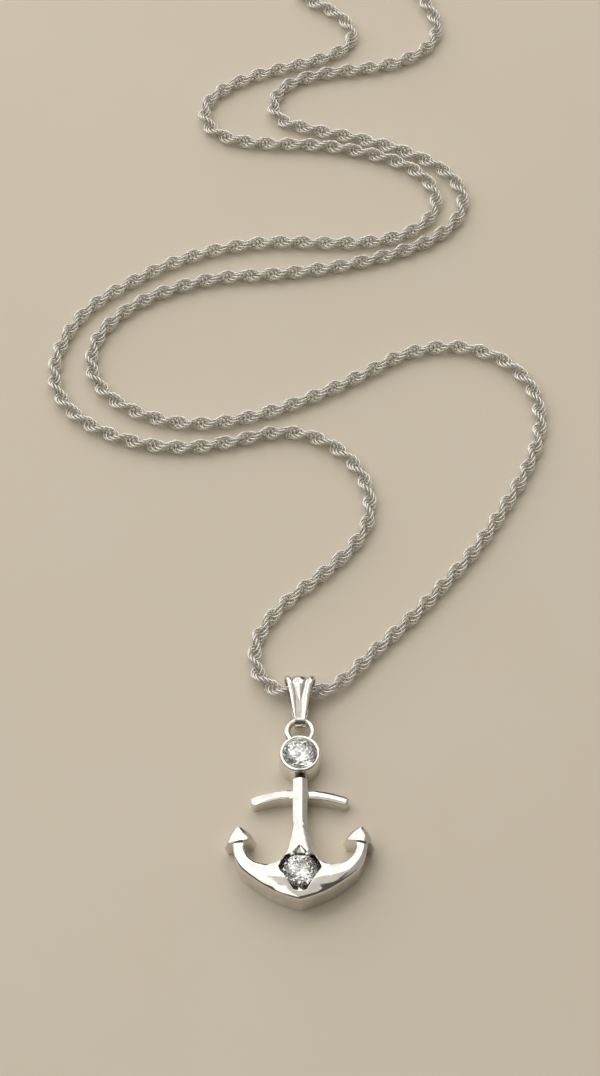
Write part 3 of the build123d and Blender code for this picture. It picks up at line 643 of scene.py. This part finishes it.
@dataclass
class FoldedBail:
    """A fluted silver strip, folded over the chain and closed round the pendant's ring.

    All sizes and places are in millimetres. Places are (along, up) for the two bends, and
    (along, value) in the tables that widths and depths are read from.
    """

    finish: PolishedSterling
    name: str = "fluted_bail"
    foot_centre: Place = (5.875, 2.2)
    bend_centre: Place = (11.3, 1.98)
    foot_radius: float = 0.99
    bend_radius: float = 1.74
    thickness: float = 0.48
    top_half: float = 2.475
    top_y: float = 13.78
    middle_half: float = 1.2
    middle_y: float = 8.1375
    side_bulge: float = -0.12
    foot_half: float = 0.77
    leaf_half: float = 1.08
    leaf_top_y: float = 13.1
    leaf_tip_y: float = 8.6
    leaf_taper: float = 0.8
    leaf_fade: float = 0.55
    ridge_places: tuple[Place, ...] = (
        (5.0, 0.5), (6.2, 0.53), (9.3, 0.62), (11.1, 0.94), (13.3, 1.34))
    depths: tuple[Place, ...] = ((5.2, 0.1), (6.5, 0.14), (9.5, 0.2), (13.3, 0.26))
    fade_angles: Place = (-1.35, -0.75)
    panel_hollow: float = 0.03
    rim_share: float = 0.6
    arch_power: float = 0.6
    edge_radius: float = 0.09
    step: float = 0.075
    columns: int = 72
    inner_columns: int = 24
    corner_steps: int = 4

    def leg(self, angle: float, straight: float, fluted: bool) -> list[Station]:
        """Walks one straight leg, to the bend where it is fluted and back from it where not.

        Args:
            angle: The way that the leg's outer face looks.
            straight: The leg's length.
            fluted: Whether it is the fluted leg.

        Returns:
            The leg's stations.
        """
        (foot_y, foot_z), (bend_y, bend_z) = self.foot_centre, self.bend_centre
        count = int(straight / self.step)
        stations = []
        for index in range(count):
            share = index / count if fluted else 1 - index / count
            radius = self.foot_radius + (self.bend_radius - self.foot_radius) * share
            y = foot_y + (bend_y - foot_y) * share + radius * math.cos(angle)
            z = foot_z + (bend_z - foot_z) * share + radius * math.sin(angle)
            stations.append((y, z, math.cos(angle), math.sin(angle), float(fluted)))
        return stations

    def turn(self, centre: Place, radius: float, start: float, end: float,
             fluted: bool) -> list[Station]:
        """Walks one bend, whose flutes fade out under the strip.

        Args:
            centre: The bend's centre.
            radius: Its radius.
            start: The angle that it starts at.
            end: The angle that it ends at.
            fluted: Whether it is the fluted bend.

        Returns:
            The bend's stations.
        """
        count = int(abs(end - start) * radius / self.step)
        stations = []
        for index in range(count):
            angle = start + (end - start) * index / count
            out_y, out_z = math.cos(angle), math.sin(angle)
            reach = smooth_step(*self.fade_angles, angle) if fluted else 0.0
            y, z = centre[0] + radius * out_y, centre[1] + radius * out_z
            stations.append((y, z, out_y, out_z, reach))
        return stations

    def side_path(self) -> list[Station]:
        """Walks once round the strip's middle line in the side plane.

        Returns:
            For each station its y and z, its normal's y and z, and how far the flutes reach there.
        """
        (foot_y, foot_z), (bend_y, bend_z) = self.foot_centre, self.bend_centre
        span = math.hypot(bend_y - foot_y, bend_z - foot_z)
        base = math.atan2(bend_z - foot_z, bend_y - foot_y)
        spread = math.acos((self.foot_radius - self.bend_radius) / span)
        over, under = base + spread, base - spread
        straight = math.sqrt(span ** 2 - (self.bend_radius - self.foot_radius) ** 2)
        return [
            *self.leg(over, straight, True),
            *self.turn(self.bend_centre, self.bend_radius, over, under, True),
            *self.leg(under, straight, False),
            *self.turn(self.foot_centre, self.foot_radius, under, over - 2 * math.pi, False),
        ]

    def half_width(self, y: float) -> float:
        """Gives the strip's half width at a place along the pendant.

        Args:
            y: The place, in millimetres.

        Returns:
            Half the strip's width there.
        """
        if y >= self.middle_y:
            share = (y - self.middle_y) / (self.top_y - self.middle_y)
            straight = self.middle_half + (self.top_half - self.middle_half) * share
            return straight + self.side_bulge * 4 * share * (1 - share)
        share = max(0.0, (y - self.foot_centre[0]) / (self.middle_y - self.foot_centre[0]))
        return self.foot_half + (self.middle_half - self.foot_half) * share

    def sunk(self, x: float, y: float, reach: float) -> float:
        """Gives how deep the outer skin lies under the flutes' crests.

        A leaf-shaped flute stands in the middle and ends in a point, one ridge follows each
        edge, and a smooth panel lies between them.

        Args:
            x: The place across the strip.
            y: The place along the pendant.
            reach: How much of the flutes there is here, from 0 to 1.

        Returns:
            The depth in millimetres.
        """
        half, ridge = self.half_width(y), between(self.ridge_places, y)
        depth = between(self.depths, y)
        rise = (y - self.leaf_tip_y) / (self.leaf_top_y - self.leaf_tip_y)
        leaf = self.leaf_half * max(0.0, rise) ** self.leaf_taper
        panel = depth + self.panel_hollow * (1 - min(1.0, abs(x) / ridge) ** 2)
        if abs(x) >= ridge:
            across = (abs(x) - (ridge + half) / 2) / ((half - ridge) / 2)
            edge = depth if across < 0 else self.rim_share * depth
            return reach * edge * (1 - max(0.0, 1 - min(1.0, abs(across)) ** 2) ** self.arch_power)
        if abs(x) < leaf:
            stand = panel * min(1.0, leaf / self.leaf_fade)
            return reach * (panel - stand * max(0.0, 1 - (x / leaf) ** 2) ** self.arch_power)
        return reach * panel

    def section(self, y: float, reach: float) -> list[tuple[float, float]]:
        """Draws the strip's cross-section with its edges rounded.

        Args:
            y: The place along the pendant.
            reach: How much of the flutes there is here.

        Returns:
            Points of (across, off the middle line), once round.
        """
        flat = self.half_width(y) - self.edge_radius
        outer = self.thickness / 2
        points = []
        for index in range(self.columns + 1):
            x = -flat + 2 * flat * index / self.columns
            points.append((x, outer - self.sunk(x, y, reach)))
        shoulder = outer - self.sunk(flat, y, reach)
        corner = [math.pi / 2 * index / self.corner_steps for index in range(1, self.corner_steps)]
        for side, start, end in ((1, shoulder, -outer), (-1, -outer, shoulder)):
            bend = math.copysign(self.edge_radius, end - start)
            for angle in corner:
                points.append((side * (flat + self.edge_radius * math.sin(angle)),
                               start + bend * (1 - math.cos(angle))))
            for angle in corner:
                points.append((side * (flat + self.edge_radius * math.cos(angle)),
                               end - bend * (1 - math.sin(angle))))
            if side > 0:
                for index in range(self.inner_columns + 1):
                    points.append((flat - 2 * flat * index / self.inner_columns, -outer))
        return points

    def mesh(self) -> bpy.types.Mesh:
        """Builds the closed strip.

        Returns:
            The strip's mesh, in metres.
        """
        vertices, faces = [], []
        stations = self.side_path()
        for y, z, normal_y, normal_z, reach in stations:
            ring = self.section(y, reach)
            for x, off in ring:
                vertices.append((x * MM, (y + off * normal_y) * MM, (z + off * normal_z) * MM))
        around = len(ring)
        for row in range(len(stations)):
            after = (row + 1) % len(stations)
            for column in range(around):
                beside = (column + 1) % around
                faces.append((row * around + column, row * around + beside,
                              after * around + beside, after * around + column))
        mesh = bpy.data.meshes.new(self.name)
        mesh.from_pydata(vertices, [], faces)
        sketch = bmesh.new()
        sketch.from_mesh(mesh)
        bmesh.ops.recalc_face_normals(sketch, faces=sketch.faces)
        sketch.to_mesh(mesh)
        sketch.free()
        mesh.shade_smooth()
        mesh.materials.append(self.finish.material())
        return mesh

    def build(self) -> bpy.types.Object:
        """Returns:
            The finished bail.
        """
        piece = link_object(self.name, self.mesh())
        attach(piece, "root")
        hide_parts("bail")
        LOG.info("%s: %d faces", self.name, len(piece.data.polygons))
        return piece


@dataclass
class RopeChain:
    """One strand of the twisted rope chain: round wire rings, each through its next three neighbours.

    Each ring is turned a little further round the strand than the last, which gives the twist.
    """

    name: str
    node_name: str
    route: tuple[Point, ...]
    finish: PolishedSterling
    ring_radius_mm: float = 0.979
    wire_mm: float = 0.28
    off_centre_mm: float = 0.031
    ring_tilt: float = 86.3
    twist_mm: float = 7.25
    rings_per_twist: int = 13
    start_trim: float = 0.5
    end_trim_mm: float = 1.15
    line_resolution: int = 32
    ring_sides: int = 16
    wire_sides: int = 6
    seed: int = 7
    slack: float = 0.7

    def route_line(self) -> bpy.types.Mesh:
        """Draws the route as one smooth NURBS spline and reads its points.

        Returns:
            A mesh of the line's points and edges.
        """
        curve = bpy.data.curves.new(self.name + "_route", "CURVE")
        curve.dimensions = "3D"
        curve.resolution_u = self.line_resolution
        spline = curve.splines.new("NURBS")
        spline.points.add(len(self.route) - 1)
        for point, place in zip(spline.points, self.route):
            point.co = (*place, 1.0)
        spline.order_u = 3
        spline.use_endpoint_u = True
        return baked_mesh(link_object(self.name + "_route", curve), self.name + "_line")

    def tree_inputs(self) -> dict[str, tuple[str, Any]]:
        """Names the link tree's inputs, with each one's socket type and value.

        Returns:
            The socket type and the value for each input's name.
        """
        # Half a turn from ring to ring makes the two strands, and the rest of each turn twists them.
        spacing = self.twist_mm / self.rings_per_twist * MM
        twist_step = 180.0 - 360.0 / self.rings_per_twist
        return {
            "Ring Radius": ("NodeSocketFloat", self.ring_radius_mm * MM),
            "Wire Radius": ("NodeSocketFloat", self.wire_mm * MM / 2),
            "Off Centre": ("NodeSocketFloat", self.off_centre_mm * MM),
            "Ring Tilt": ("NodeSocketFloat", math.radians(self.ring_tilt)),
            "Twist per Ring": ("NodeSocketFloat", math.radians(twist_step)),
            "Spacing": ("NodeSocketFloat", spacing),
            "Start Trim": ("NodeSocketFloat", self.start_trim * spacing),
            "End Trim": ("NodeSocketFloat", self.end_trim_mm * MM),
            "Ring Sides": ("NodeSocketInt", self.ring_sides),
            "Wire Sides": ("NodeSocketInt", self.wire_sides),
            "Slack": ("NodeSocketFloat", math.radians(self.slack)),
            "Seed": ("NodeSocketInt", self.seed),
        }

    def turned_stations(self, tree: bpy.types.NodeTree, given: bpy.types.NodeOutputs,
                        ) -> tuple[bpy.types.NodeSocket, bpy.types.NodeSocket]:
        """Spaces stations along the line, each turned a step further round it than the last.

        Args:
            tree: The tree that the nodes go into.
            given: The tree's named inputs.

        Returns:
            The stations' points and their rotations.
        """
        line = add_node(tree, "GeometryNodeMeshToCurve", {"Mesh": given["Geometry"]})
        length = add_node(tree, "GeometryNodeCurveLength", {"Curve": line.outputs["Curve"]})
        last = add_node(tree, "ShaderNodeMath", {
            0: length.outputs["Length"], 1: given["End Trim"]}, operation="SUBTRACT")
        trimmed = add_node(tree, "GeometryNodeTrimCurve", {
            "Curve": line.outputs["Curve"], 4: given["Start Trim"], 5: last.outputs["Value"]},
            mode="LENGTH")
        stations = add_node(tree, "GeometryNodeCurveToPoints", {
            "Curve": trimmed.outputs["Curve"], "Length": given["Spacing"]}, mode="LENGTH")
        upright = add_node(tree, "FunctionNodeAxesToRotation", {
            0: stations.outputs["Tangent"], 1: (0.0, 0.0, 1.0)},
            primary_axis="Z", secondary_axis="X")
        number = add_node(tree, "GeometryNodeInputIndex")
        half_on = add_node(tree, "ShaderNodeMath", {0: number.outputs["Index"], 1: 0.5},
                           operation="ADD")
        twist = add_node(tree, "ShaderNodeMath", {
            0: half_on.outputs["Value"], 1: given["Twist per Ring"]}, operation="MULTIPLY")
        negative = add_node(tree, "ShaderNodeMath", {0: given["Slack"], 1: -1.0},
                            operation="MULTIPLY")
        play = add_node(tree, "FunctionNodeRandomValue", {
            "Min": negative.outputs["Value"], "Max": given["Slack"], "Seed": given["Seed"]},
            data_type="FLOAT")
        turn = add_node(tree, "ShaderNodeMath", {
            0: twist.outputs["Value"], 1: play.outputs[1]}, operation="ADD")
        spin = add_node(tree, "FunctionNodeAxisAngleToRotation", {
            "Axis": (0.0, 0.0, 1.0), "Angle": turn.outputs["Value"]})
        turned = add_node(tree, "FunctionNodeRotateRotation", {
            "Rotation": upright.outputs["Rotation"], "Rotate By": spin.outputs["Rotation"]},
            rotation_space="LOCAL")
        return stations.outputs["Points"], turned.outputs["Rotation"]

    def wire_ring(self, tree: bpy.types.NodeTree,
                  given: bpy.types.NodeOutputs) -> bpy.types.NodeSocket:
        """Makes one wire ring and marks how far out each of its points stands, which paints shade on the
        wire towards the strand's core.

        Args:
            tree: The tree that the nodes go into.
            given: The tree's named inputs.

        Returns:
            The ring's geometry.
        """
        hoop = add_node(tree, "GeometryNodeCurvePrimitiveCircle", {
            "Resolution": given["Ring Sides"], "Radius": given["Ring Radius"]})
        wire = add_node(tree, "GeometryNodeCurvePrimitiveCircle", {
            "Resolution": given["Wire Sides"], "Radius": given["Wire Radius"]})
        ring = add_node(tree, "GeometryNodeCurveToMesh", {
            "Curve": hoop.outputs["Curve"], "Profile Curve": wire.outputs["Curve"]})
        offset = add_node(tree, "ShaderNodeCombineXYZ", {"X": given["Off Centre"]})
        tilt = add_node(tree, "ShaderNodeCombineXYZ", {"X": given["Ring Tilt"]})
        tilted = add_node(tree, "GeometryNodeTransform", {
            "Geometry": ring.outputs["Mesh"], "Translation": offset.outputs["Vector"],
            "Rotation": tilt.outputs["Vector"]})
        smooth = add_node(tree, "GeometryNodeSetShadeSmooth", {
            "Geometry": tilted.outputs["Geometry"]})
        place = add_node(tree, "GeometryNodeInputPosition")
        flat = add_node(tree, "ShaderNodeVectorMath", {
            0: place.outputs["Position"], 1: (1.0, 1.0, 0.0)}, operation="MULTIPLY")
        out = add_node(tree, "ShaderNodeVectorMath", {0: flat.outputs["Vector"]},
                       operation="LENGTH")
        edge = add_node(tree, "ShaderNodeMath", {
            0: given["Ring Radius"], 1: given["Off Centre"]}, operation="ADD")
        rim = add_node(tree, "ShaderNodeMath", {
            0: edge.outputs["Value"], 1: given["Wire Radius"]}, operation="ADD")
        reach = add_node(tree, "ShaderNodeMath", {
            0: out.outputs["Value"], 1: rim.outputs["Value"]}, operation="DIVIDE")
        # The 'buffed' attribute holds painted shade: low towards the strand's core, where the rings shade
        # each other.
        return add_node(tree, "GeometryNodeStoreNamedAttribute", {
            "Geometry": smooth.outputs["Geometry"], "Name": "buffed",
            "Value": reach.outputs["Value"]}, data_type="FLOAT",
            domain="POINT").outputs["Geometry"]

    def link_tree(self, silver: bpy.types.Material) -> bpy.types.NodeTree:
        """Builds the tree that strings the rings along a line.

        Args:
            silver: The chain's material.

        Returns:
            The Geometry Nodes tree.
        """
        tree = bpy.data.node_groups.new("rope_chain_links", "GeometryNodeTree")
        tree.is_modifier = True
        face = tree.interface
        face.new_socket("Geometry", in_out="INPUT", socket_type="NodeSocketGeometry")
        for name, (kind, _) in self.tree_inputs().items():
            face.new_socket(name, in_out="INPUT", socket_type=kind)
        face.new_socket("Geometry", in_out="OUTPUT", socket_type="NodeSocketGeometry")
        given = add_node(tree, "NodeGroupInput").outputs
        points, rotation = self.turned_stations(tree, given)
        strung = add_node(tree, "GeometryNodeInstanceOnPoints", {
            "Points": points, "Instance": self.wire_ring(tree, given), "Rotation": rotation})
        real = add_node(tree, "GeometryNodeRealizeInstances", {
            "Geometry": strung.outputs["Instances"]})
        dressed = add_node(tree, "GeometryNodeSetMaterial", {
            "Geometry": real.outputs["Geometry"], "Material": silver})
        add_node(tree, "NodeGroupOutput", {"Geometry": dressed.outputs["Geometry"]})
        return tree

    def build(self) -> bpy.types.Object:
        """Returns:
            The finished strand.
        """
        line = link_object(self.name + "_line", self.route_line())
        modifier = line.modifiers.new("rope links", "NODES")
        modifier.node_group = self.link_tree(self.finish.material())
        sockets = {item.name: item.identifier
                   for item in modifier.node_group.interface.items_tree
                   if item.in_out == "INPUT"}
        for name, (_, value) in self.tree_inputs().items():
            modifier[sockets[name]] = value
        piece = link_object(self.name, baked_mesh(line, self.name))
        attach(piece, "root")
        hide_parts(self.node_name)
        faces = self.ring_sides * self.wire_sides
        LOG.info("%s: %d rings", self.name, len(piece.data.polygons) // faces)
        return piece


@dataclass
class CarriedNodes:
    """CAD nodes whose solids already have their shape and get their finish here."""

    nodes: dict[str, bpy.types.Object]
    finish: PolishedSterling | CutZirconia
    names: tuple[str, ...] = ()

    def dress(self) -> None:
        """Assigns one finish to the material slots of every node."""
        finish = self.finish.material()
        for name in self.names:
            for held in self.nodes[name].material_slots:
                held.link = "OBJECT"
                held.material = finish
            LOG.info("%s: dressed", name)


@dataclass
class SetStones(CarriedNodes):
    """The two round stones, with their flat facets."""

    names: tuple[str, ...] = ("bezel_stone", "crown_stone")


@dataclass
class ClosingFittings(CarriedNodes):
    """The end caps, jump rings and clasp."""

    names: tuple[str, ...] = (
        "end_cap_left", "end_cap_right", "jump_ring_left", "jump_ring_right", "clasp")


@dataclass
class TableTop:
    """The plain pale floor that the necklace lies on."""

    half_width: float = 1.6
    finish: PaleTableTop = field(default_factory=PaleTableTop)

    def build(self) -> bpy.types.Object:
        """Builds the floor.

        Returns:
            The floor.
        """
        reach = self.half_width
        mesh = bpy.data.meshes.new("table_top")
        corners = [(-reach, -reach, 0.0), (reach, -reach, 0.0), (reach, reach, 0.0),
                   (-reach, reach, 0.0)]
        mesh.from_pydata(corners, [], [(0, 1, 2, 3)])
        mesh.materials.append(self.finish.material())
        floor = link_object("table_top", mesh)
        return floor


@dataclass(frozen=True)
class Softbox:
    """A flat even light, placed by the direction that the pendant sees it in."""

    name: str
    azimuth: float
    elevation: float
    distance: float
    width: float
    height: float
    radiance: float
    colour: str = "#FFFDF8"
    slide: float = 0.0

    def hang(self) -> bpy.types.Object:
        """Hangs the light so that it faces the pendant.

        Returns:
            The light.
        """
        light = bpy.data.lights.new(self.name, "AREA")
        light.shape = "RECTANGLE"
        light.size = self.width
        light.size_y = self.height
        light.energy = self.radiance * math.pi * self.width * self.height
        light.color = linear(self.colour)[:3]
        turn, rise = math.radians(self.azimuth), math.radians(self.elevation)
        out = Vector((math.sin(turn) * math.cos(rise), math.cos(turn) * math.cos(rise),
                      math.sin(rise)))
        box = link_object(self.name, light)
        side = Vector((math.cos(turn), -math.sin(turn), 0.0))
        box.location = out * self.distance + side * self.slide
        box.rotation_euler = out.to_track_quat("Z", "Y").to_euler()
        return box


@dataclass
class Studio:
    """Window-like softboxes behind and to the left, a dim wall on the right and a dark front.

    A polished face shows white where it mirrors a window, grey where it mirrors the wall and dark
    between. The dim boxes stand side by side as the pendant sees them, or they would add up.
    """

    boxes: tuple[Softbox, ...] = (
        Softbox("window_softbox", azimuth=-32.0, elevation=33.0, distance=1.4, width=2.34,
                height=2.0, radiance=1.1, slide=-0.2),
        Softbox("side_window", azimuth=16.0, elevation=47.0, distance=1.38, width=0.6,
                height=0.84, radiance=1.1),
        Softbox("left_skylight", azimuth=-100.0, elevation=62.0, distance=1.4, width=1.5,
                height=1.0, radiance=1.1),
        Softbox("right_room_wall", azimuth=62.0, elevation=33.0, distance=1.6, width=2.6,
                height=1.9, radiance=0.3, colour="#F6F0E6"),
        Softbox("ceiling_softbox", azimuth=0.0, elevation=82.0, distance=1.6, width=1.3,
                height=1.15, radiance=0.6, colour="#F6F0E6"),
    )
    surround: str = "#504F4C"
    light_bounces: int = 24
    mirror_bounces: int = 16
    view_transform: str = "Standard"

    def build(self) -> None:
        """Hangs the lights, sets the surround and sets how the picture is developed."""
        for box in self.boxes:
            box.hang()
        world = bpy.data.worlds.new("dim_studio")
        world.use_nodes = True
        world.node_tree.nodes.clear()
        glow = add_node(world.node_tree, "ShaderNodeBackground", {"Color": linear(self.surround)})
        add_node(world.node_tree, "ShaderNodeOutputWorld", {"Surface": glow.outputs["Background"]})
        scene = bpy.context.scene
        scene.world = world
        scene.view_settings.view_transform = self.view_transform
        scene.cycles.max_bounces = self.light_bounces
        scene.cycles.glossy_bounces = self.mirror_bounces
        scene.cycles.transmission_bounces = self.light_bounces
        self.clean_grain(scene)

    def clean_grain(self, scene: bpy.types.Scene) -> None:
        """Takes the render's grain out.

        Args:
            scene: The scene whose picture is cleaned.
        """
        bpy.context.view_layer.use_pass_normal = True
        scene.use_nodes = True
        tree = scene.node_tree
        tree.nodes.clear()
        layers = add_node(tree, "CompositorNodeRLayers")
        clean = add_node(tree, "CompositorNodeDenoise", {
            "Image": layers.outputs["Image"], "Normal": layers.outputs["Normal"]})
        add_node(tree, "CompositorNodeComposite", {"Image": clean.outputs["Image"]})


@dataclass
class PictureCamera:
    """The camera that sees the necklace as the picture does."""

    place: Point = (0.0, -0.1626, 0.3039)
    down_tilt: float = 56.5
    picture_width: int = 600
    picture_height: int = 1076
    focal_pixels: float = 2430.0
    sensor: float = 36.0

    def build(self) -> bpy.types.Object:
        """Sets the camera up.

        Returns:
            The camera.
        """
        lens = bpy.data.cameras.new("picture_camera")
        lens.sensor_fit = "AUTO"
        lens.sensor_width = self.sensor
        lens.lens = self.focal_pixels / max(self.picture_width, self.picture_height) * self.sensor
        lens.clip_start = 0.01
        lens.dof.use_dof = False
        camera = link_object("picture_camera", lens)
        camera.location = self.place
        camera.rotation_euler = (math.radians(90.0 - self.down_tilt), 0.0, 0.0)
        bpy.context.scene.camera = camera
        return camera


def main() -> None:
    """Builds every sub-assembly in order."""
    logging.basicConfig(level=logging.INFO, format="%(name)s: %(message)s")
    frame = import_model()
    nodes = frame["nodes"]

    PictureCamera().build()
    Studio().build()
    TableTop().build()

    # Painted shade: the cast anchor is darkened down the stone's pocket and in the bezel's joint.
    cast = PolishedSterling("hand_polished_cast_sterling", painted_shade_attribute="buffed",
                            painted_shade="#A5A19A")
    folded = PolishedSterling("satin_polished_sheet_sterling")
    # Drawing and tumbling leave the thin wire satin, so the chain looks soft and lighter than cast metal.
    # Painted shade: the wire is darkened a little towards the strand's core, between the rings.
    wire = PolishedSterling("satin_drawn_sterling_wire", painted_shade_attribute="buffed",
                            painted_shade="#DEDAD4", dull="#E9E6E1", roughness_low=0.36, roughness_high=0.56)
    turned = PolishedSterling("polished_sterling_findings")
    AnchorCasting(nodes["anchor"], cast).build()
    FoldedBail(folded).build()
    RopeChain("rope_links_left", "rope_chain_left", LEFT_ROUTE, wire).build()
    RopeChain("rope_links_right", "rope_chain_right", RIGHT_ROUTE, wire, seed=11).build()
    SetStones(nodes, CutZirconia()).dress()
    ClosingFittings(nodes, turned).dress()


if __name__ == "__main__":
    main()
